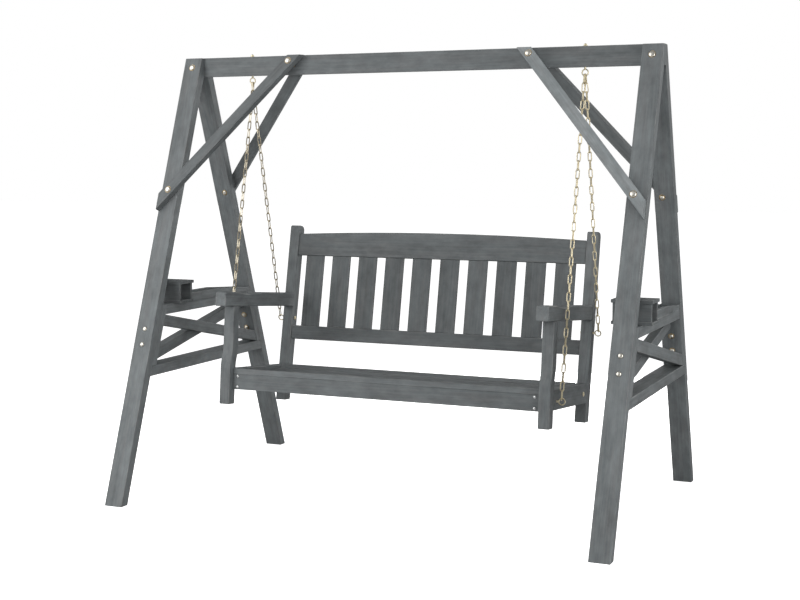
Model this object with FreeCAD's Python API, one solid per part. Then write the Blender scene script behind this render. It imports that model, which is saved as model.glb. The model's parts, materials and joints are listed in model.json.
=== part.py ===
import FreeCAD, Part
import math
import os
from FreeCAD import Placement, Rotation, Vector

os.makedirs("parts", exist_ok=True)

# Stand: two leaning leg pairs, one on each side, carrying a top beam (mm)
STAND_HEIGHT = 1750.0
STAND_WIDTH = 2004.0
FOOT_SPREAD = 1336.0
LEG_WIDTH = 77.0
LEG_THICK = 40.0
LEG_TOP = 15.0
BEAM_THICK = 32.0
BEAM_HEIGHT = 76.0

# Knee braces, laid flat on the outside of the legs
BRACE_WIDTH = 44.0
BRACE_THICK = 28.0
BRACE_REACH = 452.0
BRACE_DROP = 514.0
BRACE_TOP_BOLT = 23.0
BRACE_LEG_BOLT = 8.0
BRACE_SETBACK = 4.0

# Side panels: rails laid flat, stiles along the legs, two crossed boards
LOW_RAIL_Z = 479.0
UP_RAIL_Z = 714.0
RAIL_HEIGHT = 40.0
STILE_THICK = 28.0
CROSS_WIDTH = 44.0
CROSS_THICK = 38.0

# Trays on the side panels, with a cup box at the front of each
RIM_THICK = 16.0
RIM_HEIGHT = 31.0
RIM_END_HEIGHT = 16.0
RIM_LEVEL_TO = 100.0
RIM_OVERHANG = 11.0
CUP_LENGTH = 151.0
CUP_DEPTH = 96.0
CUP_FRONT = 279.0
CUP_HEIGHT = 89.0
CUP_BOARD = 12.0
CUP_TOP_LIP = 5.0
CUP_HOLE = 70.0
CUP_WALL_INSET = 5.0

# Bench, square in its own frame: p runs to the back, q runs up
BENCH_WIDTH = 1366.0
POST = 45.0
BENCH_TILT = 5.37
FRONT_POST_HEIGHT = 389.0
POST_BEND_LOW = 140.0
POST_BEND_HIGH = 235.0
POST_BEND_DEPTH = 16.0
BACK_POST_P = 475.0
BACK_POST_FOOT = -12.0
BACK_POST_LENGTH = 742.0
BACK_LEAN = 6.2
POST_TOP_FRONT_ROUND = 10.0
POST_TOP_BACK_ROUND = 20.0
ARM_WIDTH = 48.0
ARM_HEIGHT = 57.0
ARM_FRONT = 58.0
ARM_SCOOP = 7.0
ARM_SCOOP_FROM = 50.0
ARM_SCOOP_TO = 240.0
ARM_NOSE_ROUND = 9.0

# Seat frame, and slats laid in a shallow dish between the side rails
SEAT_TOP = 144.0
SEAT_DISH = 24.0
SEAT_SLAT_WIDTH = 66.0
SEAT_SLAT_GAP = 10.0
SEAT_SLAT_THICK = 22.0
SEAT_SLATS = 6
FRONT_RAIL_P = 25.0
FRONT_RAIL_LOW = 60.0
FRONT_RAIL_THICK = 40.0
SIDE_RAIL_LOW = 66.0
SIDE_RAIL_TOP = 140.0
REAR_RAIL_P = 412.0
REAR_RAIL_THICK = 34.0
BEARER_THICK = 34.0

# Back rest between the back posts, measured up along them
BACK_RAIL_INSET = 4.0
BACK_RAIL_THICK = 20.0
TOP_RAIL_LOW = 613.0
TOP_RAIL_HEIGHT = 93.0
TOP_RAIL_ARCH = 15.0
LOWER_RAIL_LOW = 252.0
LOWER_RAIL_HEIGHT = 58.0
BACK_SLATS = 10
BACK_SLAT_WIDTH = 84.0
BACK_SLAT_THICK = 10.0

# Chains and the eye bolts they hang between
EYE_RING = 11.7
EYE_WIRE = 2.4
EYE_SIDES = 10
EYE_NECK = 6.1
EYE_SHANK = 4.0
BEAM_EYE_NUT = 11.0
LINK_WIRE = 4.0
LINK_HALF_GAP = 4.0
LINK_PITCH = 32.6
LINK_PLAY = 0.5
LINK_LIFT = 2.1
CHAIN_SPACING = 4.9
FRONT_LINKS = 37
REAR_LINKS = 31
FRONT_EYE_P = 78.0
FRONT_EYE_Q = 98.0
REAR_EYE_UP = 342.0

# Bolts, nuts and screws
HOLE_PLAY = 0.2
BIG_HEAD = 24.0
BIG_HEAD_RISE = 6.0
SMALL_HEAD = 18.0
SMALL_HEAD_RISE = 5.0
HEAD_SIDES = 8
HEAD_TAPER = 0.62
BOLT_SHANK = 4.0
SHANK_SIDES = 6
NUT_ACROSS = 17.0
FLANGE_NUT = 24.0
NUT_RISE = 6.5
LAG_TIP_GAP = 2.0
LEG_BOLT_DROP = 39.0
PANEL_BOLT_LOW = 604.0
PANEL_BOLT_STEP = 60.0
SCREW_HEAD = 11.0
SCREW_RISE = 2.5
SCREW_SHANK = 2.5
SCREW_LENGTH = 24.0
SCREW_EDGE = 10.0
SCREW_INSET = 21.0

half_width = STAND_WIDTH / 2
half_spread = FOOT_SPREAD / 2
slope = (half_spread - BEAM_THICK / 2 - LEG_TOP) / STAND_HEIGHT
lean = math.degrees(math.atan(slope))
lean_cos = math.cos(math.radians(lean))
lean_sin = math.sin(math.radians(lean))
leg_run = LEG_THICK / lean_cos
stile_run = STILE_THICK / lean_cos
leg_in = half_width - LEG_WIDTH
leg_mid = half_width - LEG_WIDTH / 2
low_rail_top = LOW_RAIL_Z + RAIL_HEIGHT
up_rail_top = UP_RAIL_Z + RAIL_HEIGHT
rim_top = up_rail_top + RIM_HEIGHT
rim_end = up_rail_top + RIM_END_HEIGHT


def save(node, *solids):
    shape = solids[0] if len(solids) == 1 else Part.makeCompound(list(solids))
    shape.exportStep("parts/%s.step" % node)


def in_x(shape):
    return shape.mirror(Vector(0, 0, 0), Vector(1, 0, 0))


def in_y(shape):
    return shape.mirror(Vector(0, 0, 0), Vector(0, 1, 0))


def save_sides(node, right):
    save(node + "_right", right)
    save(node + "_left", in_x(right))


def side_profile(points, x_from, x_to):
    """Board whose outline lies in the side view, points given as (y, z)."""
    outline = Part.makePolygon([Vector(x_from, y, z) for y, z in points + points[:1]])
    return Part.Face(outline).extrude(Vector(x_to - x_from, 0, 0))


def curved_profile(edges, x_from, x_to):
    """As side_profile, from edges drawn at x = 0."""
    face = Part.Face(Part.Wire(edges))
    face.translate(Vector(x_from, 0, 0))
    return face.extrude(Vector(x_to - x_from, 0, 0))


def line(a, b):
    return Part.makeLine(Vector(0, *a), Vector(0, *b))


def bend(a, b):
    """Smooth side step from a to b, upright at both ends: two equal arcs."""
    mid = ((a[0] + b[0]) / 2, (a[1] + b[1]) / 2)
    turn = math.atan2(abs(mid[0] - a[0]), abs(mid[1] - a[1]))
    radius = math.hypot(mid[0] - a[0], mid[1] - a[1]) / (2 * math.sin(turn))
    bulge = math.copysign(radius * (1 - math.cos(turn)), b[0] - a[0])
    climb = math.copysign(radius * math.sin(turn), b[1] - a[1])
    first = Part.Arc(Vector(0, *a), Vector(0, a[0] + bulge, a[1] + climb), Vector(0, *mid))
    second = Part.Arc(Vector(0, *mid), Vector(0, b[0] - bulge, b[1] - climb), Vector(0, *b))
    return [first.toShape(), second.toShape()]


def block(x, y, z):
    """Board from its three ranges."""
    return Part.makeBox(x[1] - x[0], y[1] - y[0], z[1] - z[0], Vector(x[0], y[0], z[0]))


def aim(shape, point, direction):
    """Turns a shape drawn along +Z to a direction and sets it at a point."""
    shape.Placement = Placement(point, Rotation(Vector(0, 0, 1), direction))
    return shape


def ring_of(sides, radius, z):
    """Corners of a level polygon whose flats stand at the radius from the Z axis."""
    corner = radius / math.cos(math.pi / sides)
    angles = [math.pi * (2 * i + 1) / sides for i in range(sides + 1)]
    return [Vector(corner * math.sin(a), corner * math.cos(a), z) for a in angles]


def faceted(sides, levels):
    """Flat-sided turning from (radius, z) levels, listed upwards."""
    rings = [ring_of(sides, radius, z) for radius, z in levels]
    faces = [Part.Face(Part.makePolygon(rings[0])), Part.Face(Part.makePolygon(rings[-1]))]
    for low, high in zip(rings, rings[1:]):
        for i in range(sides):
            corners = [low[i], low[i + 1], high[i + 1], high[i], low[i]]
            faces.append(Part.Face(Part.makePolygon(corners)))
    return Part.Solid(Part.Shell(faces))


def cap_head(width, rise):
    """Low domed head, or cap nut, seated at z = 0."""
    return faceted(HEAD_SIDES, [(width / 2, 0), (width / 2 * HEAD_TAPER, rise)])


def dome_bolt(head, rise, shank, length):
    """Round-headed bolt: the seat of the head at z = 0, the shank going down."""
    return cap_head(head, rise).fuse(faceted(SHANK_SIDES, [(shank, -length), (shank, 0)])).removeSplitter()


def eye_bolt(shank_length):
    """Flat-sided ring centred on the origin in the XZ plane, its shank going up."""
    outer, inner = [Part.Face(Part.makePolygon(ring_of(EYE_SIDES, EYE_RING + off, 0)))
                    for off in (EYE_WIRE, -EYE_WIRE)]
    ring = outer.cut(inner).extrude(Vector(0, 0, 2 * EYE_WIRE))
    ring.translate(Vector(0, 0, -EYE_WIRE))
    ring.rotate(Vector(0, 0, 0), Vector(1, 0, 0), 90)
    shank = faceted(SHANK_SIDES, [(EYE_SHANK, EYE_RING + EYE_WIRE / 2), (EYE_SHANK, shank_length)])
    return ring.fuse(shank).removeSplitter()


def bore(point, direction, length, radius):
    """Cutter for a shank's hole, from a point along a direction."""
    return aim(faceted(SHANK_SIDES, [(radius + HOLE_PLAY, 0), (radius + HOLE_PLAY, length)]), point, direction)


# The outer faces of the front legs lie in one leaning plane. Pieces on it are drawn flat,
# x across, y up the slope and z out of the face, and then stood up.
on_legs = Placement(Vector(0, -half_spread, 0), Rotation(Vector(1, 0, 0), 90 - lean))


def leg_face_y(z):
    return -half_spread + slope * z


def up_slope(z, out=0.0):
    """Distance up the slope of a point at height z, standing out of the leg's face."""
    return (z - out * lean_sin) / lean_cos


def stood_up(shape):
    shape.Placement = on_legs.multiply(shape.Placement)
    return shape


# Bolt places on the right front leg plane: (x, up the slope, out of the face)
brace_foot_x = leg_mid - BRACE_LEG_BOLT
brace_top_x = brace_foot_x - BRACE_REACH
brace_top_z = STAND_HEIGHT - BRACE_TOP_BOLT
brace_foot_z = brace_top_z - BRACE_DROP
brace_top = Vector(brace_top_x, up_slope(brace_top_z, BRACE_THICK), BRACE_THICK)
brace_foot = Vector(brace_foot_x, up_slope(brace_foot_z, BRACE_THICK), BRACE_THICK)
leg_bolt = Vector(leg_mid, up_slope(STAND_HEIGHT - LEG_BOLT_DROP), 0)
panel_bolts = [Vector(leg_mid, up_slope(PANEL_BOLT_LOW + i * PANEL_BOLT_STEP), 0) for i in range(2)]


def lag_length(seat):
    """From a seat to a tip that stays short of the beam's middle."""
    seat_y = on_legs.multVec(seat).y
    return (-LAG_TIP_GAP - BOLT_SHANK * lean_sin - seat_y) / lean_cos


brace_through = BRACE_THICK + LEG_THICK
panel_through = LEG_THICK + STILE_THICK
bolt_plan = [
    (brace_top, BIG_HEAD, BIG_HEAD_RISE, lag_length(brace_top)),
    (leg_bolt, BIG_HEAD, BIG_HEAD_RISE, lag_length(leg_bolt)),
    (brace_foot, BIG_HEAD, BIG_HEAD_RISE, brace_through),
    (panel_bolts[0], SMALL_HEAD, SMALL_HEAD_RISE, panel_through),
    (panel_bolts[1], SMALL_HEAD, SMALL_HEAD_RISE, panel_through),
]


def bored(shape):
    """Front right piece of the stand with every bolt hole that meets it."""
    for seat, head, rise, length in bolt_plan:
        hole = bore(seat, Vector(0, 0, -1), length + HOLE_PLAY, BOLT_SHANK)
        shape = shape.cut(stood_up(hole))
    return shape


# Top beam, bored for the bolts on both faces and for the two eye bolts
eye_x = BENCH_WIDTH / 2 + EYE_NECK + EYE_RING + EYE_WIRE
beam_low = STAND_HEIGHT - BEAM_HEIGHT
eye_z = beam_low - EYE_NECK - EYE_RING - EYE_WIRE
hinge_z = eye_z - EYE_RING
beam = block((0, half_width), (-BEAM_THICK / 2, BEAM_THICK / 2), (beam_low, STAND_HEIGHT))
beam = in_y(bored(in_y(bored(beam))))
beam = beam.cut(bore(Vector(eye_x, 0, beam_low), Vector(0, 0, 1), BEAM_HEIGHT, EYE_SHANK))
save("top_beam", beam.fuse(in_x(beam)).removeSplitter())

# Legs: feet and tops cut level, the inner top cut upright against the beam
beam_face = -BEAM_THICK / 2
meets_beam = (beam_face + half_spread - leg_run) / slope
leg_outline = [(-half_spread, 0), (leg_run - half_spread, 0), (beam_face, meets_beam),
               (beam_face, STAND_HEIGHT), (leg_face_y(STAND_HEIGHT), STAND_HEIGHT)]
leg = bored(side_profile(leg_outline, leg_in, half_width))
save_sides("leg_front", leg)
save_sides("leg_rear", in_y(leg))

# Knee braces: a straight strip through both bolts, trimmed level with the beam and beside the leg
run = (brace_top - brace_foot).normalize()
across = Vector(-run.y, run.x, 0) * (BRACE_WIDTH / 2)
far = run * (BRACE_REACH + BRACE_DROP)
corners = [brace_foot - far - across, brace_top + far - across,
           brace_top + far + across, brace_foot - far + across]
strip = Part.Face(Part.makePolygon(corners + corners[:1])).extrude(Vector(0, 0, -BRACE_THICK))
trim = block((0, half_width - BRACE_SETBACK), (-half_spread, half_spread), (0, STAND_HEIGHT))
brace = bored(stood_up(strip).common(trim))
save_sides("brace_front", brace)
save_sides("brace_rear", in_y(brace))

# Side panels
leg_back = leg_run - half_spread


def leg_back_y(z, off=0.0):
    """Inner face of the front leg, or a face standing off it."""
    return leg_back + off + slope * z


def between(z_from, z_to, off):
    """Level board from front leg to rear leg, its ends cut to their lean."""
    front_low = leg_back_y(z_from, off)
    front_high = leg_back_y(z_to, off)
    return [(front_low, z_from), (-front_low, z_from), (-front_high, z_to), (front_high, z_to)]


def stile(top):
    outline = [(leg_back_y(low_rail_top), low_rail_top), (leg_back_y(low_rail_top, stile_run), low_rail_top),
               (leg_back_y(top, stile_run), top), (leg_back_y(top), top)]
    return bored(side_profile(outline, leg_in, half_width))


save_sides("stile_front", stile(up_rail_top))
save_sides("stile_rear", in_y(stile(rim_end)))
save_sides("lower_rail", side_profile(between(LOW_RAIL_Z, low_rail_top, 0), leg_in, half_width))
save_sides("upper_rail", side_profile(between(UP_RAIL_Z, up_rail_top, stile_run), leg_in, half_width))

# Crossed boards: each lies from one corner of the panel's window to the opposite one
window = between(low_rail_top, UP_RAIL_Z, stile_run)
corner_high = window[3]
corner_low = window[1]
drop_y = corner_low[0] - corner_high[0]
drop_z = corner_high[1] - corner_low[1]
diagonal = math.hypot(drop_y, drop_z)
fall = math.atan2(drop_z, drop_y) - math.asin(CROSS_WIDTH / diagonal)
along = (math.cos(fall), -math.sin(fall))
shift = (-math.sin(fall) * CROSS_WIDTH, -math.cos(fall) * CROSS_WIDTH)


def cross_board(x_from, x_to):
    ends = [-diagonal, 2 * diagonal]
    upper = [(corner_high[0] + along[0] * t, corner_high[1] + along[1] * t) for t in ends]
    lower = [(y + shift[0], z + shift[1]) for y, z in upper]
    strip_board = side_profile([upper[0], upper[1], lower[1], lower[0]], x_from, x_to)
    return strip_board.common(side_profile(window, x_from, x_to))


for side, x_from in (("right", leg_in), ("left", -half_width)):
    save("cross_falling_" + side, cross_board(x_from + LEG_WIDTH - CROSS_THICK, x_from + LEG_WIDTH))
    save("cross_rising_" + side, in_y(cross_board(x_from, x_from + CROSS_THICK)))

# Trays: two long rims on the upper rail, falling to the top of the rear stile
cup_back = CUP_DEPTH - CUP_FRONT
rim_outline = [(cup_back, up_rail_top), (-leg_back_y(up_rail_top, stile_run), up_rail_top),
               (-leg_back_y(rim_end, stile_run), rim_end), (RIM_LEVEL_TO, rim_top), (cup_back, rim_top)]
tray_in = leg_in - RIM_OVERHANG
save_sides("tray_rim_outer", side_profile(rim_outline, half_width - RIM_THICK, half_width))
save_sides("tray_rim_inner", side_profile(rim_outline, tray_in, tray_in + RIM_THICK))

# Cup boxes, open at both sides, with a round hole in the top board
cup_x = (leg_mid - CUP_LENGTH / 2, leg_mid + CUP_LENGTH / 2)
cup_y = (-CUP_FRONT, cup_back)
cup_top = up_rail_top + CUP_HEIGHT
wall_z = (up_rail_top + CUP_BOARD, cup_top - CUP_BOARD)
wall_x = (cup_x[0] + CUP_WALL_INSET, cup_x[1] - CUP_WALL_INSET)
save_sides("cup_base", block(cup_x, cup_y, (up_rail_top, wall_z[0])))
save_sides("cup_walls", Part.makeCompound([block(wall_x, (cup_y[0], cup_y[0] + CUP_BOARD), wall_z),
                                           block(wall_x, (cup_y[1] - CUP_BOARD, cup_y[1]), wall_z)]))
cup_lid = block(cup_x, (cup_y[0] - CUP_TOP_LIP, cup_y[1] + CUP_TOP_LIP), (wall_z[1], cup_top))
cup_hole = Part.makeCylinder(CUP_HOLE / 2, cup_top, Vector(leg_mid, sum(cup_y) / 2, 0))
save_sides("cup_top", cup_lid.cut(cup_hole))

# Bolts of the stand, the same on all four leg faces
frame_bolts = []
frame_nuts = []
for seat, head, rise, length in bolt_plan:
    bolt = dome_bolt(head, rise, BOLT_SHANK, length)
    bolt.translate(seat)
    frame_bolts.append(stood_up(bolt))
for seat, through in [(brace_foot, brace_through)] + [(seat, panel_through) for seat in panel_bolts]:
    nut = aim(cap_head(FLANGE_NUT, NUT_RISE), seat - Vector(0, 0, through), Vector(0, 0, -1))
    frame_nuts.append(stood_up(nut))


def all_four(shapes):
    front = shapes + [in_x(shape) for shape in shapes]
    return front + [in_y(shape) for shape in front]


save("frame_bolts", *all_four(frame_bolts[:3]))
save("panel_bolts", *all_four(frame_bolts[3:]))
save("frame_nuts", *all_four(frame_nuts))

# Eye bolts through the beam, with cap nuts on top
beam_eye = eye_bolt(STAND_HEIGHT - eye_z)
beam_eye.translate(Vector(eye_x, 0, eye_z))
beam_nut = cap_head(NUT_ACROSS, BEAM_EYE_NUT)
beam_nut.translate(Vector(eye_x, 0, STAND_HEIGHT))
save("beam_eyes", beam_eye, beam_nut, in_x(beam_eye), in_x(beam_nut))

# The bench hangs where the two chains of a side meet, on the hinge line through the beam eyes
back_frame = Placement(Vector(0, BACK_POST_P, 0), Rotation(Vector(1, 0, 0), -BACK_LEAN))
front_eye = Vector(0, FRONT_EYE_P, FRONT_EYE_Q)
rear_eye = back_frame.multVec(Vector(0, POST / 2, REAR_EYE_UP))
link_half = (LINK_PITCH + LINK_PLAY) / 2
hook = link_half - EYE_WIRE - LINK_LIFT


def chain_span(links):
    """Hinge line to the centre of the eye bolt's ring."""
    return 2 * hook + (links - 1) * LINK_PITCH + EYE_RING


front_span = chain_span(FRONT_LINKS)
rear_span = chain_span(REAR_LINKS)
base = rear_eye - front_eye
base_length = base.Length
base_dir = base / base_length
reach = (front_span ** 2 - rear_span ** 2 + base_length ** 2) / (2 * base_length)
rise_dir = Vector(0, -base_dir.z, base_dir.y)
hinge = front_eye + base_dir * reach + rise_dir * math.sqrt(front_span ** 2 - reach ** 2)
tilt = Rotation(Vector(1, 0, 0), -BENCH_TILT)
hung = Placement(Vector(0, 0, hinge_z) - tilt.multVec(hinge), tilt)


def hang(shape):
    shape.Placement = hung.multiply(shape.Placement)
    return shape


def save_hung(node, *solids):
    save(node, *[hang(solid) for solid in solids])


def save_hung_sides(node, right):
    save_sides(node, hang(right))


bench_half = BENCH_WIDTH / 2
bench_in = bench_half - POST

# Front posts, stepped back towards the arm in one smooth bend
step_low = (0, POST_BEND_LOW)
step_high = (POST_BEND_DEPTH, POST_BEND_HIGH)
post_top = (POST_BEND_DEPTH, FRONT_POST_HEIGHT)


def behind(point):
    return (point[0] + POST, point[1])


front_post = curved_profile(
    [line((0, 0), step_low), *bend(step_low, step_high), line(step_high, post_top),
     line(post_top, behind(post_top)), line(behind(post_top), behind(step_high)),
     *bend(behind(step_high), behind(step_low)), line(behind(step_low), (POST, 0)),
     line((POST, 0), (0, 0))], bench_in, bench_half)
save_hung_sides("front_post", front_post)

# Eye bolts of the bench: the front pair in the side rails, the rear pair in the back posts
chain_dirs = [(hinge - eye).normalize() for eye in (front_eye, rear_eye)]
shank_reach = eye_x - bench_in


def beside_bench(shape, eye, to_hinge):
    """Lays a shape drawn upwards along -X at an eye, turned in line with its chain."""
    shape.rotate(Vector(0, 0, 0), Vector(0, 1, 0), -90)
    shape.rotate(Vector(0, 0, 0), Vector(1, 0, 0), -math.degrees(math.atan2(to_hinge.y, to_hinge.z)))
    shape.translate(Vector(eye_x, eye.y, eye.z))
    return shape


bench_eyes = []
eye_bores = []
for eye, to_hinge in zip((front_eye, rear_eye), chain_dirs):
    nut = aim(cap_head(NUT_ACROSS, NUT_RISE), Vector(bench_in, eye.y, eye.z), Vector(-1, 0, 0))
    bench_eyes += [beside_bench(eye_bolt(shank_reach), eye, to_hinge), nut]
    hole = faceted(SHANK_SIDES, [(EYE_SHANK + HOLE_PLAY, EYE_RING), (EYE_SHANK + HOLE_PLAY, shank_reach)])
    eye_bores.append(beside_bench(hole, eye, to_hinge))

# Back posts, leaning, with feet cut level and tops rounded over
corner_front = (0, BACK_POST_LENGTH)
corner_back = (POST, BACK_POST_LENGTH)


def rounded(corner, turn, radius):
    """Quarter round at the top of a post; turn is +1 towards the back, -1 towards the front."""
    diagonal_cut = radius * (1 - math.sqrt(0.5))
    low = Vector(0, corner[0], corner[1] - radius)
    mid = Vector(0, corner[0] - turn * diagonal_cut, corner[1] - diagonal_cut)
    high = Vector(0, corner[0] - turn * radius, corner[1])
    return Part.Arc(low, mid, high).toShape()


back_post = curved_profile(
    [line((0, -POST), (0, BACK_POST_LENGTH - POST_TOP_FRONT_ROUND)),
     rounded(corner_front, -1, POST_TOP_FRONT_ROUND),
     line((POST_TOP_FRONT_ROUND, BACK_POST_LENGTH), (POST - POST_TOP_BACK_ROUND, BACK_POST_LENGTH)),
     rounded(corner_back, 1, POST_TOP_BACK_ROUND),
     line((POST, BACK_POST_LENGTH - POST_TOP_BACK_ROUND), (POST, -POST)),
     line((POST, -POST), (0, -POST))], bench_in, bench_half)
back_post.Placement = back_frame
level = block((0, BENCH_WIDTH), (0, BENCH_WIDTH), (BACK_POST_FOOT, BENCH_WIDTH))
back_post = back_post.common(level).cut(eye_bores[1])
save_hung_sides("back_post", back_post)

# Arms: flat below, a shallow scoop on top, butted against the back posts
lean_back = math.tan(math.radians(BACK_LEAN))


def post_face(q):
    return BACK_POST_P + lean_back * q


arm_top = FRONT_POST_HEIGHT + ARM_HEIGHT
arm_mid = (ARM_SCOOP_FROM + ARM_SCOOP_TO) / 2
nose = (-ARM_FRONT, arm_top)
scoop = Part.Arc(Vector(0, ARM_SCOOP_FROM, arm_top), Vector(0, arm_mid, arm_top - ARM_SCOOP),
                 Vector(0, ARM_SCOOP_TO, arm_top)).toShape()
arm = curved_profile(
    [line((-ARM_FRONT, FRONT_POST_HEIGHT), (-ARM_FRONT, arm_top - ARM_NOSE_ROUND)),
     rounded(nose, -1, ARM_NOSE_ROUND),
     line((ARM_NOSE_ROUND - ARM_FRONT, arm_top), (ARM_SCOOP_FROM, arm_top)), scoop,
     line((ARM_SCOOP_TO, arm_top), (post_face(arm_top), arm_top)),
     line((post_face(arm_top), arm_top), (post_face(FRONT_POST_HEIGHT), FRONT_POST_HEIGHT)),
     line((post_face(FRONT_POST_HEIGHT), FRONT_POST_HEIGHT), (-ARM_FRONT, FRONT_POST_HEIGHT))],
    bench_half - ARM_WIDTH, bench_half)
save_hung_sides("arm", arm)

# Seat slats: flat boards round a level axis above the seat; where their undersides meet, the boards
# below are cut to them
seat_length = SEAT_SLATS * SEAT_SLAT_WIDTH + (SEAT_SLATS - 1) * SEAT_SLAT_GAP
dish_radius = (seat_length ** 2 / 4 + SEAT_DISH ** 2) / (2 * SEAT_DISH)
dish_axis = Vector(0, FRONT_RAIL_P + seat_length / 2, SEAT_TOP - SEAT_DISH + dish_radius)
slat_turn = math.degrees((SEAT_SLAT_WIDTH + SEAT_SLAT_GAP) / dish_radius)
under_radius = dish_radius + SEAT_SLAT_THICK
fold_radius = under_radius / math.cos(math.radians(slat_turn / 2))


def in_dish(step):
    """Frame on the dish's axis, turned by slats from the middle of the seat."""
    return Placement(dish_axis, Rotation(Vector(1, 0, 0), (step - SEAT_SLATS / 2) * slat_turn))


slat_across = (-SEAT_SLAT_WIDTH / 2, SEAT_SLAT_WIDTH / 2)
seat_slats = []
for i in range(SEAT_SLATS):
    slat = block((-bench_in, bench_in), slat_across, (-under_radius, -dish_radius))
    slat.Placement = in_dish(i + 0.5)
    seat_slats.append(slat)
save_hung("seat_slats", *seat_slats)
folds = [in_dish(i).multVec(Vector(0, 0, -fold_radius)) for i in range(SEAT_SLATS + 1)]
over_seat = SEAT_TOP + POST
under_line = [(fold.y, fold.z) for fold in folds]
seat_space = side_profile(under_line + [(folds[-1].y, over_seat), (folds[0].y, over_seat)], -bench_half, bench_half)

# Side rails, standing above the slats' ends, bolted to the rear rail
side_mid = (SIDE_RAIL_LOW + SIDE_RAIL_TOP) / 2
rear_rail_mid = REAR_RAIL_P + REAR_RAIL_THICK / 2
rail_bolt_length = 2 * POST
rail_bolt = dome_bolt(SMALL_HEAD, SMALL_HEAD_RISE, BOLT_SHANK, rail_bolt_length)
rail_bolt = aim(rail_bolt, Vector(bench_half, rear_rail_mid, side_mid), Vector(1, 0, 0))
rail_bore = bore(Vector(bench_half, rear_rail_mid, side_mid), Vector(-1, 0, 0),
                 rail_bolt_length + HOLE_PLAY, BOLT_SHANK)
side_rail = side_profile([(POST, SIDE_RAIL_LOW), (post_face(SIDE_RAIL_LOW), SIDE_RAIL_LOW),
                          (post_face(SIDE_RAIL_TOP), SIDE_RAIL_TOP), (POST, SIDE_RAIL_TOP)],
                         bench_in, bench_half)
save_hung_sides("side_rail", side_rail.cut([eye_bores[0], rail_bore]))
rear_rail = block((-bench_in, bench_in), (REAR_RAIL_P, REAR_RAIL_P + REAR_RAIL_THICK), (SIDE_RAIL_LOW, SEAT_TOP))
save_hung("rear_rail", rear_rail.cut([seat_space, rail_bore, in_x(rail_bore)]))
save_hung("rail_bolts", rail_bolt, in_x(rail_bolt))

# Front rail with two screws near each end
screws = []
screw_bores = []
for q in (FRONT_RAIL_LOW + SCREW_EDGE, SEAT_TOP - SEAT_SLAT_THICK - SCREW_EDGE):
    for x in (SCREW_INSET - bench_in, bench_in - SCREW_INSET):
        place = Vector(x, FRONT_RAIL_P, q)
        screw = dome_bolt(SCREW_HEAD, SCREW_RISE, SCREW_SHANK, SCREW_LENGTH)
        screws.append(aim(screw, place, Vector(0, -1, 0)))
        screw_bores.append(bore(place, Vector(0, 1, 0), SCREW_LENGTH + HOLE_PLAY, SCREW_SHANK))
rail_back = FRONT_RAIL_P + FRONT_RAIL_THICK
front_rail = block((-bench_in, bench_in), (FRONT_RAIL_P, rail_back), (FRONT_RAIL_LOW, SEAT_TOP))
save_hung("front_rail", front_rail.cut([seat_space] + screw_bores))
save_hung("rail_screws", *screws)

# Bearers under the slats: one in the middle, and one on each side rail behind the eye bolt's nut
bearer_z = (SIDE_RAIL_LOW, SEAT_TOP)
bearer = block((-BEARER_THICK / 2, BEARER_THICK / 2), (rail_back, REAR_RAIL_P), bearer_z)
save_hung("seat_bearer", bearer.cut(seat_space))
side_bearer = block((bench_in - BEARER_THICK, bench_in), (FRONT_EYE_P + NUT_ACROSS, REAR_RAIL_P), bearer_z)
save_hung_sides("side_bearer", side_bearer.cut(seat_space))

# Back rest: an arched top rail, a straight lower rail and upright slats between them
back_y = (BACK_RAIL_INSET, BACK_RAIL_INSET + BACK_RAIL_THICK)
top_rail_end = TOP_RAIL_LOW + TOP_RAIL_HEIGHT
arch = Part.Arc(Vector(-bench_in, back_y[0], top_rail_end), Vector(0, back_y[0], top_rail_end + TOP_RAIL_ARCH),
                Vector(bench_in, back_y[0], top_rail_end)).toShape()
feet = [Vector(bench_in, back_y[0], top_rail_end), Vector(bench_in, back_y[0], TOP_RAIL_LOW),
        Vector(-bench_in, back_y[0], TOP_RAIL_LOW), Vector(-bench_in, back_y[0], top_rail_end)]
rail_edges = [arch] + [Part.makeLine(a, b) for a, b in zip(feet, feet[1:])]
top_rail = Part.Face(Part.Wire(rail_edges)).extrude(Vector(0, BACK_RAIL_THICK, 0))
lower_rail_top = LOWER_RAIL_LOW + LOWER_RAIL_HEIGHT
lower_rail = block((-bench_in, bench_in), back_y, (LOWER_RAIL_LOW, lower_rail_top))
slat_mid = sum(back_y) / 2
slat_y = (slat_mid - BACK_SLAT_THICK / 2, slat_mid + BACK_SLAT_THICK / 2)
slat_step = (2 * bench_in + BACK_SLAT_WIDTH) / (BACK_SLATS + 1)
slat_first = slat_step - BACK_SLAT_WIDTH - bench_in
back_slats = []
for i in range(BACK_SLATS):
    x_from = slat_first + i * slat_step
    back_slats.append(block((x_from, x_from + BACK_SLAT_WIDTH), slat_y, (lower_rail_top, TOP_RAIL_LOW)))
for piece in [top_rail, lower_rail] + back_slats:
    piece.Placement = back_frame
save_hung("back_top_rail", top_rail)
save_hung("back_lower_rail", lower_rail)
save_hung("back_slats", *back_slats)

# Eye bolts of the bench
right_eyes = [hang(piece) for piece in bench_eyes]
save("bench_eyes", *right_eyes, *[in_x(piece) for piece in right_eyes])


# Chain links: flat-sided ovals, every second one turned a quarter round the chain
def eight_sided(half_length, half_gap):
    cut = half_gap * (2 - math.sqrt(2))
    quarter = [(half_gap, half_length - cut), (half_gap - cut, half_length)]
    ring = quarter + [(-x, y) for x, y in quarter[::-1]]
    ring += [(-x, -y) for x, y in ring]
    return Part.makePolygon([Vector(x, y, -LINK_WIRE / 2) for x, y in ring + ring[:1]])


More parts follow.
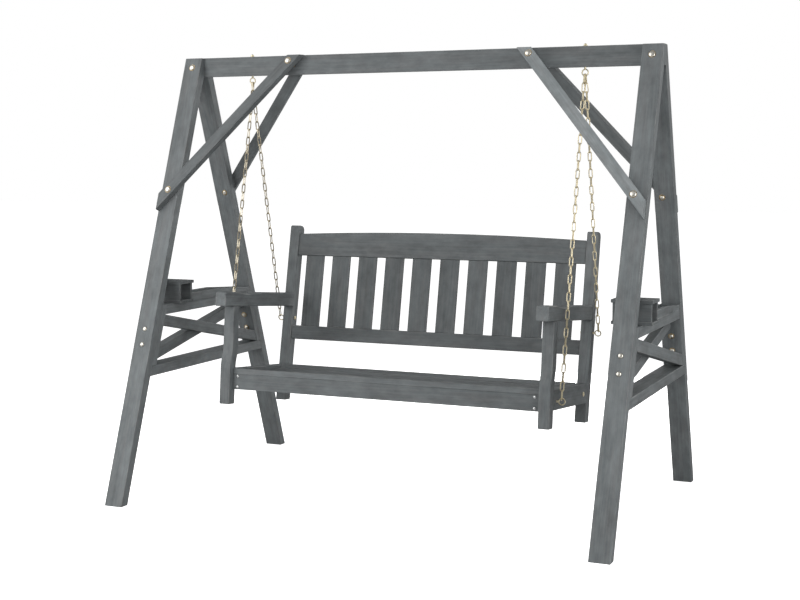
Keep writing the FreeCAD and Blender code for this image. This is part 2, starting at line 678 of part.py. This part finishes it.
def chain_link():
    """Link centred on the origin, long way along Y, lying in the XY plane."""
    inner = eight_sided(link_half, LINK_HALF_GAP)
    outer = eight_sided(link_half + LINK_WIRE, LINK_HALF_GAP + LINK_WIRE)
    link = Part.Face(outer).extrude(Vector(0, 0, LINK_WIRE))
    return link.cut(Part.Face(inner).extrude(Vector(0, 0, LINK_WIRE)))


def chain(links, to_hinge, x_mid):
    """Links from the hinge line down to an eye bolt of the bench, both end links edge on to the front."""
    swing = math.degrees(math.atan2(to_hinge.y, to_hinge.z))
    upright = Rotation(Vector(1, 0, 0), 90 - swing)
    edge_on = upright.multiply(Rotation(Vector(0, 1, 0), 90))
    pieces = []
    for i in range(links):
        middle = hinge - to_hinge * (hook + i * LINK_PITCH)
        turn = edge_on if i % 2 == 0 else upright
        link = one_link.copy()
        link.Placement = Placement(Vector(x_mid, middle.y, middle.z), turn)
        pieces.append(hang(link))
    return pieces


one_link = chain_link()
for node, links, to_hinge, off in (("chain_front", FRONT_LINKS, chain_dirs[0], -CHAIN_SPACING / 2),
                                   ("chain_rear", REAR_LINKS, chain_dirs[1], CHAIN_SPACING / 2)):
    save_sides(node, Part.makeCompound(chain(links, to_hinge, eye_x + off)))
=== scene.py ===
import json
import math

import bmesh
import bpy
from mathutils import Matrix, Vector


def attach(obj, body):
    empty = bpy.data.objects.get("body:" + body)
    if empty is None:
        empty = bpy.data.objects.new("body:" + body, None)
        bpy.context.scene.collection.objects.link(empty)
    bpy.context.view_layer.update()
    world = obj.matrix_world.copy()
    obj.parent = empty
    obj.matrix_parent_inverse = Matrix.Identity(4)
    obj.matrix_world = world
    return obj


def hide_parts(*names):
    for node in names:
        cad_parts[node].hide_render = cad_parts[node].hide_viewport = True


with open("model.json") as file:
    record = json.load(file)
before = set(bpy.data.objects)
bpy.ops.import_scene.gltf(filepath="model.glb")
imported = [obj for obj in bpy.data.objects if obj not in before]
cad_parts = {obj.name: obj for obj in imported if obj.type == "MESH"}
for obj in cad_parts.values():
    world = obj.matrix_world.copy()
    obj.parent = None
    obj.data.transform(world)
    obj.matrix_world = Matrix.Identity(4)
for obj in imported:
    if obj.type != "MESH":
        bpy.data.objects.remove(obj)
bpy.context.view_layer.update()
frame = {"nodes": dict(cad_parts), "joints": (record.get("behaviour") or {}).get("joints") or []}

# Top beam: one planed softwood board on edge, stained slate grey, with its edges eased.
# The legs and braces are bolted to its two faces and the eye bolts go through it.
cad_piece = frame["nodes"]
along_beam = (1, 0, 0)
same_corner = 0.00001


class Tone:
    """One output of a shader node. Sums on it add Math nodes to the same tree."""

    def __init__(self, tree, socket):
        self.tree = tree
        self.socket = socket

    @classmethod
    def node(cls, tree, kind, settings, sockets, output=0):
        """A new node: its settings come first, then the values or links of its sockets."""
        made = tree.nodes.new("ShaderNode" + kind)
        for name, value in settings.items():
            if name == "stops":
                ramp = made.color_ramp.elements
                while len(ramp) < len(value):
                    ramp.new(1.0)
                for stop, (position, colour) in zip(ramp, value):
                    stop.position = position
                    stop.color = (*colour, 1)
            else:
                setattr(made, name, value)
        for name, value in sockets.items():
            if isinstance(value, cls):
                tree.links.new(value.socket, made.inputs[name])
            else:
                made.inputs[name].default_value = value
        return cls(tree, made.outputs[output])

    def feed(self, shader, name):
        """Links this output to a socket of a shader."""
        self.tree.links.new(self.socket, shader.inputs[name])

    def maths(self, operation, first, second):
        """A Math node over two values."""
        return Tone.node(self.tree, "Math", {"operation": operation}, {0: first, 1: second})

    def __add__(self, other):
        return self.maths("ADD", self, other)

    def __sub__(self, other):
        return self.maths("SUBTRACT", self, other)

    def __rsub__(self, other):
        return self.maths("SUBTRACT", other, self)

    def __mul__(self, other):
        return self.maths("MULTIPLY", self, other)

    __radd__ = __add__
    __rmul__ = __mul__


def new_finish(name):
    """A new material with its node tree and its shader."""
    finish = bpy.data.materials.new(name)
    finish.use_nodes = True
    return finish, finish.node_tree, finish.node_tree.nodes["Principled BSDF"]


def marks(place, scale, detail, rough):
    """Soft random marks over a surface."""
    return Tone.node(place.tree, "TexNoise", {},
                     {"Vector": place, "Scale": scale, "Detail": detail, "Roughness": rough})


def patches(amount, start, full):
    """Share that grows from 0 to 1 while an amount goes from a start to a full value."""
    return Tone.node(amount.tree, "MapRange", {}, {"Value": amount, "From Min": start, "From Max": full})


def blend(share, first, second, how="MIX"):
    """Colour between two. The node's colour sockets are told by number, because their names repeat."""
    return Tone.node(share.tree, "Mix", {"data_type": "RGBA", "blend_type": how},
                     {0: share, 6: first, 7: second}, 2)


def wood_coat(name, along, stain_and_painted_light, handled):
    """Grey stain over softwood. A handled coat is rubbed thin in patches and polished there."""
    finish, tree, shader = new_finish(name)
    place = Tone.node(tree, "TexCoord", {}, {}, "Object")
    turn = Vector((1, 0, 0)).rotation_difference(Vector(along)).to_euler()

    def figure(length, width, detail, rough):
        """Soft marks of that length along the grain and that width across it."""
        laid = Tone.node(tree, "Mapping", {"vector_type": "TEXTURE"},
                         {"Vector": place, "Rotation": turn, "Scale": (length, width, width)})
        return marks(laid, 1.0, detail, rough)

    streaks = figure(length=0.30, width=0.010, detail=4.0, rough=0.62)
    pores = figure(length=0.05, width=0.0011, detail=2.0, rough=0.5)
    clouds = figure(length=0.20, width=0.07, detail=3.0, rough=0.55)
    blotches = figure(length=0.060, width=0.030, detail=4.0, rough=0.62)
    boards = figure(length=4.0, width=0.11, detail=0.0, rough=0.5)
    rings = figure(length=0.9, width=0.024, detail=1.0, rough=0.4)
    warmth = figure(length=0.16, width=0.025, detail=3.0, rough=0.6)

    ring_count = 9.0
    half_ring = 0.5
    ring = Tone.node(tree, "Math", {"operation": "PINGPONG"}, {0: rings * ring_count, 1: half_ring})
    late_wood = ring * (1 / half_ring)
    darkening = 0.16
    paleness = (streaks * 0.24 + clouds * 0.28 + blotches * 0.42 + boards * 0.22
                + late_wood * 0.06 + pores * 0.10 - darkening)
    dark_coat = (0.066, 0.073, 0.075)
    middle_coat = (0.131, 0.144, 0.148)
    pale_coat = (0.196, 0.215, 0.220)
    coats = [(0.25, dark_coat), (0.50, middle_coat), (0.75, pale_coat)]
    # The tone factor scales every stop: partly the board's own stain, partly painted light and shade.
    stops = [(at, [stain_and_painted_light * part for part in coat]) for at, coat in coats]
    stain = Tone.node(tree, "ValToRGB", {"stops": stops}, {"Fac": paleness})
    warm_tinge = (1.0, 0.955, 0.945, 1)
    stain = blend(patches(warmth, start=0.42, full=0.70), stain, warm_tinge, "MULTIPLY")
    roughness = 0.60 - streaks * 0.16 + pores * 0.12
    if handled:
        thin_coat = (0.300, 0.300, 0.288, 1)
        rubs = figure(length=0.11, width=0.035, detail=3.0, rough=0.6)
        rubbed = patches(rubs * 0.8 + pores * 0.2, start=0.46, full=0.66)
        stain = blend(rubbed * 0.4, stain, thin_coat)
        roughness = roughness - rubbed * 0.10
    relief = streaks * 0.5 + pores * 0.35 - late_wood * 0.2
    bump = Tone.node(tree, "Bump", {}, {"Strength": 0.20, "Distance": 0.0010, "Height": relief})
    stain.feed(shader, "Base Color")
    roughness.feed(shader, "Roughness")
    bump.feed(shader, "Normal")
    shader.inputs["Specular IOR Level"].default_value = 0.28
    return finish


def stained_wood(name, along, stain_and_painted_light=1.0):
    """Coats for a board's faces and for its edges, with the grain along a direction; the tone factor is
    partly the board's own stain and partly painted light and shade.
    """
    return [wood_coat(name, along, stain_and_painted_light, handled=False),
            wood_coat(name + "_edges", along, stain_and_painted_light, handled=True)]


def ease(names, coats, radius):
    """Boards keep their cut shape. Their sharp edges are rounded over and take the last coat."""
    for name in names:
        piece = cad_piece[name]
        piece.data.materials.clear()
        for coat in coats:
            piece.data.materials.append(coat)
        weld = piece.modifiers.new("joined corners", "WELD")
        weld.merge_threshold = same_corner
        flat = piece.modifiers.new("whole faces", "DECIMATE")
        flat.decimate_type = "DISSOLVE"
        flat.angle_limit = math.radians(0.2)
        edge = piece.modifiers.new("eased edges", "BEVEL")
        edge.width = radius
        edge.segments = 3
        edge.limit_method = "ANGLE"
        edge.angle_limit = math.radians(35)
        edge.harden_normals = True
        edge.material = len(coats) - 1


# The beam's stain is scaled a little darker as painted shade.
ease(["top_beam"], stained_wood("wood_beam", along_beam, stain_and_painted_light=0.95), radius=0.003)

# Legs: four leaning posts of the same wood, cut level at the floor and flush with the beam.
# Each pair is bolted to the beam's end.
leg_lean = math.radians(20.0)
front_lean = (0, math.sin(leg_lean), math.cos(leg_lean))
rear_lean = (0, -math.sin(leg_lean), math.cos(leg_lean))
front_leg_wood = stained_wood("wood_front_legs", front_lean)
rear_leg_wood = stained_wood("wood_rear_legs", rear_lean)


def both(name):
    """Names of the left and the right piece of a pair."""
    return [name + "_left", name + "_right"]


ease(both("leg_front"), front_leg_wood, radius=0.0025)
ease(both("leg_rear"), rear_leg_wood, radius=0.0025)

# Knee braces: slim boards of the same wood laid flat on the legs, running up and in to the
# beam. One bolt holds each end.
brace_inward = 0.452
brace_upward = 0.547
# Each brace's stain is scaled: the rear ones and the front left one darker as painted shade, the front right
# one much lighter as painted light.
for name, way_in, lean, stain_and_painted_light in (("front_left", 1, front_lean, 0.92),
                                  ("front_right", -1, front_lean, 1.60),
                                  ("rear_left", 1, rear_lean, 0.82),
                                  ("rear_right", -1, rear_lean, 0.92)):
    run = Vector((way_in * brace_inward, 0, 0)) + Vector(lean) * brace_upward
    brace_wood = stained_wood("wood_brace_" + name, run.normalized(), stain_and_painted_light)
    ease(["brace_" + name], brace_wood, radius=0.003)

# Side panels: level rails between the legs, a stile along each leg, and two crossed boards,
# all of the same wood. The stiles are bolted to the legs and carry the rest.
cross_run = 0.758
cross_rise = 0.15
depth_wood = stained_wood("wood_front_to_back", (0, 1, 0))
falling_wood = stained_wood("wood_cross_falling", Vector((0, cross_run, -cross_rise)).normalized())
rising_wood = stained_wood("wood_cross_rising", Vector((0, cross_run, cross_rise)).normalized())
ease(both("lower_rail") + both("upper_rail"), depth_wood, radius=0.003)
ease(both("stile_front"), front_leg_wood, radius=0.003)
ease(both("stile_rear"), rear_leg_wood, radius=0.003)
ease(both("cross_falling"), falling_wood, radius=0.0025)
ease(both("cross_rising"), rising_wood, radius=0.0025)

# Trays: two thin wooden rims along each upper rail, falling to the top of the rear stile.
# They are glued and pinned to the rail, which is the tray's floor.
ease(both("tray_rim_outer") + both("tray_rim_inner"), depth_wood, radius=0.002)

# Cup boxes: four thin boards each, open at both sides, with a round hole cut in the top.
# They stand on the front ends of the upper rails, glued and pinned like the rims.
# The cup boxes' stain is scaled darker as painted shade.
cup_wood = stained_wood("wood_cup_boxes", along_beam, stain_and_painted_light=0.78)
ease(both("cup_base") + both("cup_walls") + both("cup_top"), cup_wood, radius=0.0018)

# Stand bolts: round-headed bolts of yellow-plated steel, big ones for beam and braces and
# smaller ones in the panels. Their heads are turned, with the rim and lower dome painted dark brown as shade.
bolt_shank = 0.004
bolt_sides = 20
rim_share = 0.10
lip_share = 0.18
painted_shade_share = 0.45


def plated_steel(name, dark, light, gloss):
    """Zinc plating between two tints, pale where it is rubbed and browner where it is dull."""
    finish, tree, shader = new_finish(name)
    place = Tone.node(tree, "TexCoord", {}, {}, "Object")
    clouds = marks(place, scale=90.0, detail=3.0, rough=0.6)
    specks = marks(place, scale=700.0, detail=2.0, rough=0.5)
    tint = blend(clouds * 0.7 + specks * 0.3, (*dark, 1), (*light, 1))
    roughness = 0.55 - gloss * 0.4 + clouds * 0.16 + specks * 0.06
    tint.feed(shader, "Base Color")
    roughness.feed(shader, "Roughness")
    shader.inputs["Metallic"].default_value = 1.0
    return finish


def solids_of(name):
    """Corner points of each separate solid in a CAD node."""
    mesh = bmesh.new()
    mesh.from_mesh(cad_piece[name].data)
    bmesh.ops.remove_doubles(mesh, verts=mesh.verts, dist=same_corner)
    mesh.verts.ensure_lookup_table()
    seen = set()
    found = []
    for start in mesh.verts:
        if start.index in seen:
            continue
        seen.add(start.index)
        solid = [start]
        for corner in solid:
            for edge in corner.link_edges:
                far = edge.other_vert(corner)
                if far.index not in seen:
                    seen.add(far.index)
                    solid.append(far)
        found.append([corner.co.copy() for corner in solid])
    mesh.free()
    return found


def middle_of(points):
    """Mean of some points."""
    return sum(points, Vector()) / len(points)


def shape_from(mesh):
    """Closes the seams and poles of a new shape and keeps it as a mesh."""
    bmesh.ops.remove_doubles(mesh, verts=mesh.verts, dist=0.000001)
    bmesh.ops.recalc_face_normals(mesh, faces=mesh.faces)
    shape = bpy.data.meshes.new("shape")
    mesh.to_mesh(shape)
    mesh.free()
    return shape


def turned(outline, sides):
    """Closed turning about Z from an outline of (radius, height) that starts and ends on the axis."""
    mesh = bmesh.new()
    corners = [mesh.verts.new((radius, 0, height)) for radius, height in outline]
    edges = [mesh.edges.new(pair) for pair in zip(corners, corners[1:])]
    bmesh.ops.spin(mesh, geom=corners + edges, cent=(0, 0, 0), axis=(0, 0, 1), angle=math.tau,
                   steps=sides, use_merge=True)
    return shape_from(mesh)


def set_in(group, shape, place):
    """Adds a shape to a group of like pieces, at a place."""
    start = len(group.verts)
    group.from_mesh(shape)
    group.verts.ensure_lookup_table()
    bmesh.ops.transform(group, matrix=place, space=Matrix.Identity(4), verts=group.verts[start:])


def standing(point, axis):
    """Place of a shape drawn up Z that stands at a point along an axis."""
    turn = Vector((0, 0, 1)).rotation_difference(Vector(axis))
    return Matrix.Translation(point) @ turn.to_matrix().to_4x4()


def hardware(name, group, body, platings, *replaced):
    """Makes a group of metal pieces one object that stands for CAD nodes."""
    crease = math.radians(38)
    for face in group.faces:
        face.smooth = True
    for edge in group.edges:
        edge.smooth = edge.calc_face_angle(0) < crease
    mesh = bpy.data.meshes.new(name)
    group.to_mesh(mesh)
    group.free()
    for plating in platings:
        mesh.materials.append(plating)
    piece = bpy.data.objects.new(name, mesh)
    bpy.context.scene.collection.objects.link(piece)
    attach(piece, body)
    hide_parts(*replaced)


def dome(radius, rise, steps=6):
    """Outline of a low round head from the top of its rim to its crown, with a short straight lip."""
    lip = rise * lip_share
    angles = [math.pi / 2 * step / steps for step in range(steps)]
    curve = [(radius * math.cos(angle), lip + (rise - lip) * math.sin(angle)) for angle in angles]
    return [(radius, rise * rim_share), *curve, (0, rise)]


def bolts(name, body, node, head, rise, shank, outward, platings, rim=0.0):
    """Round-headed bolts in the place of a node's solids, with each head on its outward side.

    The first plating shows on the top of the head, and the last one below it, a dark brown that paints in
    shade.
    """
    group = bmesh.new()
    for points in solids_of(node):
        middle = middle_of(points)
        axis = Vector(outward(middle))
        reach = [(point - middle).dot(axis) for point in points]
        length = max(reach) - min(reach) - rise
        brim = head / 2 + rim
        foot = [(brim, 0), (brim, rise * rim_share)] if rim else [(brim, 0)]
        outline = [(0, -length), (shank, -length), (shank, 0), *foot, *dome(head / 2, rise)]
        shape = turned(outline, bolt_sides)
        for face in shape.polygons:
            # Faces low on each head take the last plating, a dark brown that paints shade.
            if face.center.z < rise * painted_shade_share:
                face.material_index = len(platings) - 1
        set_in(group, shape, standing(middle + axis * (max(reach) - rise), axis))
    hardware(name, group, body, platings, node)


def leg_side(middle):
    """Out of the leg's outer face."""
    return (0, math.copysign(math.cos(leg_lean), middle.y), math.sin(leg_lean))


# The second plating is dark brown painted shade for the lower parts of the heads and the washers.
bolt_platings = (plated_steel("plated_bolts", dark=(0.72, 0.67, 0.55), light=(1.0, 0.98, 0.93), gloss=0.8),
                 plated_steel("plated_rims_painted_shade", dark=(0.26, 0.18, 0.09), light=(0.66, 0.52, 0.31), gloss=0.6))
bolts("brace_bolts_domed", "stand", "frame_bolts", head=0.024, rise=0.006, shank=bolt_shank,
      outward=leg_side, platings=bolt_platings, rim=0.0015)
bolts("panel_bolts_domed", "stand", "panel_bolts", head=0.018, rise=0.005, shank=bolt_shank,
      outward=leg_side, platings=bolt_platings)

# Cap nuts: six-sided nuts of the same plated steel with domed ends, each on a washer.
# They close the through bolts on the inner sides of the stand.
nut_width = 0.017
nut_foot_width = 0.01598
nut_top_width = 0.0153
nut_chamfer = 0.00068
nut_flat = 0.0034
nut_rise = 0.0065
cap_width = 0.01326
cap_foot = 0.00306
washer_width = 0.024
washer_top_width = 0.02208
washer_lip = 0.00084
washer_thick = 0.0014


def cap_nut(group, seat, axis, rise):
    """Six-sided nut with a dome closing its outer end."""
    corner = nut_width / 2
    hexagon = [(0, 0), (nut_foot_width / 2, 0), (corner, nut_chamfer), (corner, nut_flat - nut_chamfer),
               (nut_top_width / 2, nut_flat), (0, nut_flat)]
    set_in(group, turned(hexagon, sides=6), standing(seat, axis))
    cap = [(radius, cap_foot + height) for radius, height in dome(cap_width / 2, rise - cap_foot)]
    set_in(group, turned([(0, cap_foot), *cap], sides=16), standing(seat, axis))


nuts = bmesh.new()
washer = turned([(0, 0), (washer_width / 2, 0), (washer_width / 2, washer_lip),
                 (washer_top_width / 2, washer_thick), (0, washer_thick)], sides=24)
# Each washer takes the dark brown plating, painted shade around the nut.
for face in washer.polygons:
    face.material_index = len(bolt_platings) - 1
for points in solids_of("frame_nuts"):
    middle = middle_of(points)
    inward = -Vector(leg_side(middle))
    seat = middle + inward * min((point - middle).dot(inward) for point in points)
    set_in(nuts, washer, standing(seat, inward))
    cap_nut(nuts, seat, inward, nut_rise)
hardware("cap_nuts", nuts, "stand", bolt_platings, "frame_nuts")

# Beam eyes: plated eye bolts that go up through the beam under cap nuts.
# The bench swings on the bottoms of their rings.
chain_plating = plated_steel("plated_chain", dark=(0.76, 0.62, 0.38), light=(1.0, 0.95, 0.75), gloss=0.7)
eye_ring = 0.0117
eye_wire = 0.0024
eye_shank = 0.004
eye_neck = 0.0028
eye_nut_rise = 0.011
longest_nut = 2 * eye_nut_rise


def eye_bolt(length):
    """Round ring in the XZ plane about the origin, with a shouldered shank going up."""
    mesh = bmesh.new()
    wire = bmesh.ops.create_circle(mesh, cap_ends=False, segments=10, radius=eye_wire)["verts"]
    bmesh.ops.translate(mesh, vec=(eye_ring, 0, 0), verts=wire)
    bmesh.ops.spin(mesh, geom=wire + mesh.edges[:], cent=(0, 0, 0), axis=(0, 1, 0), angle=math.tau,
                   steps=24, use_merge=True)
    shank = turned([(0, eye_ring), (eye_neck, eye_ring), (eye_shank, eye_ring + eye_wire),
                    (eye_shank, length), (0, length)], sides=14)
    set_in(mesh, shank, Matrix.Identity(4))
    return shape_from(mesh)


beam_eyes = bmesh.new()
for points in solids_of("beam_eyes"):
    middle = middle_of(points)
    low = min(point.z for point in points)
    high = max(point.z for point in points)
    if high - low < longest_nut:
        cap_nut(beam_eyes, Vector((middle.x, 0, low)), (0, 0, 1), eye_nut_rise)
    else:
        centre = Vector((middle.x, 0, low + eye_ring + eye_wire))
        set_in(beam_eyes, eye_bolt(high - centre.z), Matrix.Translation(centre))
hardware("beam_eyes_round", beam_eyes, "stand", [chain_plating], "beam_eyes")

# Bench posts and arms: square posts, the front ones stepped in one bend and the back ones
# leaning, with arms laid on top whose upper edges are well rounded. Screwed together from below.
bench_tilt = math.radians(5.37)
bench_back = (0, math.cos(bench_tilt), -math.sin(bench_tilt))
bench_up = (0, math.sin(bench_tilt), math.cos(bench_tilt))
back_tilt = bench_tilt + math.radians(6.2)
back_up = (0, math.sin(back_tilt), math.cos(back_tilt))
arm_wood = stained_wood("wood_seat_depth", bench_back)
ease(both("front_post"), stained_wood("wood_front_posts", bench_up), radius=0.004)
ease(both("back_post"), stained_wood("wood_back_uprights", back_up), radius=0.004)
ease(both("arm"), arm_wood, radius=0.005)

# Seat: a frame of four rails, and slats laid in a shallow dish between the side rails.
# The slats are screwed to three bearers and to the front and rear rails.
ease(both("side_rail") + both("side_bearer") + ["seat_bearer"], arm_wood, radius=0.003)
# The seat rails' and slats' stains are scaled darker as painted shade.
ease(["front_rail", "rear_rail"], stained_wood("wood_seat_rails", along_beam, stain_and_painted_light=0.90), radius=0.0006)
ease(["seat_slats"], stained_wood("wood_seat_slats", along_beam, stain_and_painted_light=0.92), radius=0.0018)

# Back rest: an arched top rail and a straight lower one of the same wood, with upright slats
# tenoned between them. The rails' ends are let into the back posts.
# The back rest's stains are scaled darker as painted shade, most on the lower rail and the slats.
ease(["back_top_rail"], stained_wood("wood_back_top_rail", along_beam, stain_and_painted_light=0.86), radius=0.0035)
ease(["back_lower_rail"], stained_wood("wood_back_lower_rail", along_beam, stain_and_painted_light=0.77), radius=0.0035)
ease(["back_slats"], stained_wood("wood_back_slats", back_up, stain_and_painted_light=0.77), radius=0.002)

# Rail screws and bolts: small bright screws through the front rail, and a plated bolt with a
# round head at each end of the rear rail.


def to_front(middle):
    """Out of the front rail's face."""
    return -Vector(bench_back)


def to_side(middle):
    """Out of the bench's end."""
    return (math.copysign(1, middle.x), 0, 0)


screw_plating = plated_steel("plated_screws", dark=(0.76, 0.77, 0.76), light=(1.0, 1.0, 1.0), gloss=0.8)
bolts("rail_screws_domed", "bench", "rail_screws", head=0.011, rise=0.0025, shank=0.0025,
      outward=to_front, platings=[screw_plating])
bolts("rail_bolts_domed", "bench", "rail_bolts", head=0.018, rise=0.005, shank=bolt_shank,
      outward=to_side, platings=[chain_plating])

# Bench eyes: plated eye bolts through the side rails and the back posts, closed by cap nuts
# inside. Each ring stands in line with the chain that hooks into it.
hinge = Vector(frame["joints"][0]["pos_m"])


def facing(wide, long):
    """Turn of a shape whose width goes along one direction and whose length along another."""
    return Matrix((wide, long.cross(wide), long)).transposed().to_4x4()


bench_eyes = bmesh.new()
for points in solids_of("bench_eyes"):
    middle = middle_of(points)
    side = math.copysign(1, middle.x)
    outer = max(abs(point.x) for point in points)
    inner = min(abs(point.x) for point in points)
    if outer - inner < longest_nut:
        cap_nut(bench_eyes, Vector((side * outer, middle.y, middle.z)), (-side, 0, 0), nut_rise)
    else:
        centre = Vector((side * (outer - eye_ring - eye_wire), middle.y, middle.z))
        up_chain = Vector((0, hinge.y - centre.y, hinge.z - centre.z)).normalized()
        place = Matrix.Translation(centre) @ facing(up_chain, Vector((-side, 0, 0)))
        set_in(bench_eyes, eye_bolt(abs(centre.x) - inner), place)
hardware("bench_eyes_round", bench_eyes, "bench", [chain_plating], "bench_eyes")

# Chains: welded links of plated round wire, every second one turned a quarter. Two hang from
# each beam eye, one to the side rail and one to the back post. The left pair's plating is darker, as painted
# shade.
link_wire = 0.0044
link_half_gap = 0.0040
link_half_length = 0.01655
# The left chains' darker plating paints shade.
chain_plating_painted_shade = plated_steel("plated_chain_painted_shade", dark=(0.52, 0.44, 0.31), light=(0.82, 0.76, 0.61), gloss=0.6)


def chain_link():
    """Oval link of round wire standing in the XZ plane, long way up."""
    bend = link_half_gap + link_wire / 2
    straight = link_half_length - link_half_gap
    mesh = bmesh.new()
    wire = bmesh.ops.create_circle(mesh, cap_ends=False, segments=6, radius=link_wire / 2)["verts"]
    bmesh.ops.translate(mesh, vec=(bend, 0, -straight), verts=wire)
    end = mesh.edges[:]
    for way in (1, -1):
        grown = bmesh.ops.extrude_edge_only(mesh, edges=end)["geom"]
        corners = [item for item in grown if isinstance(item, bmesh.types.BMVert)]
        end = [item for item in grown if isinstance(item, bmesh.types.BMEdge)
               and all(corner in corners for corner in item.verts)]
        bmesh.ops.translate(mesh, vec=(0, 0, way * 2 * straight), verts=corners)
        spun = bmesh.ops.spin(mesh, geom=corners + end, cent=(0, 0, way * straight), axis=(0, -1, 0),
                              angle=math.pi, steps=4)["geom_last"]
        end = [item for item in spun if isinstance(item, bmesh.types.BMEdge)]
    return shape_from(mesh)


link = chain_link()
across = Vector(along_beam)
for node, plating in (("chain_front_left", chain_plating_painted_shade), ("chain_front_right", chain_plating),
                      ("chain_rear_left", chain_plating_painted_shade), ("chain_rear_right", chain_plating)):
    links = sorted(solids_of(node), key=lambda points: -middle_of(points).z)
    up_chain = (middle_of(links[0]) - middle_of(links[-1])).normalized()
    chain = bmesh.new()
    for points in links:
        spread = max(point.x for point in points) - min(point.x for point in points)
        wide = across if spread > 2 * link_half_gap else up_chain.cross(across)
        set_in(chain, link, Matrix.Translation(middle_of(points)) @ facing(wide, up_chain))
    hardware(node + "_links", chain, "bench", [plating], node)

# Studio floor and sky: plain white sheets. Both look white to the camera, throw back less
# light than they show, and the metal sees the sky a little darker.
floor_half = 30
floor_bounce = 0.4
floor_shown = 0.5
floor_glow = 0.8
floor_mesh = bmesh.new()
bmesh.ops.create_grid(floor_mesh, x_segments=1, y_segments=1, size=floor_half)
floor_shape = bpy.data.meshes.new("floor")
floor_mesh.to_mesh(floor_shape)
floor_mesh.free()
floor = bpy.data.objects.new("floor", floor_shape)
bpy.context.scene.collection.objects.link(floor)
floor_paint, floor_tree, floor_shader = new_finish("floor_paint")
floor_seen = Tone.node(floor_tree, "LightPath", {}, {}, "Is Camera Ray")
(floor_seen * floor_shown + floor_bounce).feed(floor_shader, "Base Color")
(floor_seen * floor_glow).feed(floor_shader, "Emission Color")
floor_shader.inputs["Emission Strength"].default_value = 1.0
floor_shader.inputs["Roughness"].default_value = 0.9
floor_shader.inputs["Specular IOR Level"].default_value = 0.0
floor_shape.materials.append(floor_paint)

sky_light = 0.4
sky_shown = 0.6
sky_darker = 0.10
sky = bpy.data.worlds.new("sky")
sky.use_nodes = True
sky_seen = Tone.node(sky.node_tree, "LightPath", {}, {}, "Is Camera Ray")
sky_mirrored = Tone.node(sky.node_tree, "LightPath", {}, {}, "Is Glossy Ray")
sky_shader = sky.node_tree.nodes["Background"]
sky_shader.inputs["Color"].default_value = (1, 1, 1, 1)
(sky_seen * sky_shown + sky_light - sky_mirrored * sky_darker).feed(sky_shader, "Strength")
bpy.context.scene.world = sky
bpy.context.scene.view_settings.view_transform = "Standard"

# Studio lights: two soft boxes in front and one at each other side light the wood.
# Two white cards, up at the left and behind, give the metal its highlights.


def soft_box(name, place, aim, power, size=1.6, lighting=True, mirrored=True):
    """Square lit panel turned towards a point. It lights the wood, shows in the metal, or both."""
    glow = bpy.data.lights.new(name, "AREA")
    glow.energy = power
    glow.shape = "SQUARE"
    glow.size = size
    light = bpy.data.objects.new(name, glow)
    light.location = place
    light.rotation_euler = (Vector(aim) - Vector(place)).to_track_quat("-Z", "Y").to_euler()
    light.visible_diffuse = lighting
    light.visible_glossy = mirrored
    bpy.context.scene.collection.objects.link(light)


soft_box("left_light", (-1.9, -2.5, 1.3), aim=(-0.6, 0, 0.85), power=45, mirrored=False)
soft_box("right_light", (0.9, -2.5, 1.95), aim=(0.6, 0, 1.2), power=22, mirrored=False)
soft_box("side_light", (3.0, -0.9, 1.1), aim=(0.9, -0.1, 0.8), power=43, size=2.4)
soft_box("back_light", (0.2, 3.2, 1.2), aim=(0, 0, 0.9), power=76, size=2.4, mirrored=False)
soft_box("far_side_light", (-3.3, 0.3, 1.0), aim=(-0.9, 0, 0.8), power=50, size=2.4, mirrored=False)
soft_box("left_card", (-2.9, -2.9, 3.0), aim=(0.2, 0, 1.2), power=130, size=4.4, lighting=False)
soft_box("back_card", (2.0, 3.4, 3.6), aim=(0, 0, 1.2), power=60, size=4.0, lighting=False)

# Camera: stands to the right of the bench, five and a half metres off and at chest height,
# and looks slightly down.
view = bpy.data.cameras.new("camera")
view.lens = 63.07
camera = bpy.data.objects.new("camera", view)
camera.location = (2.1615, -5.0927, 1.3369)
camera.rotation_euler = (math.radians(84.235), 0, math.radians(23.424))
bpy.context.scene.collection.objects.link(camera)
bpy.context.scene.camera = camera
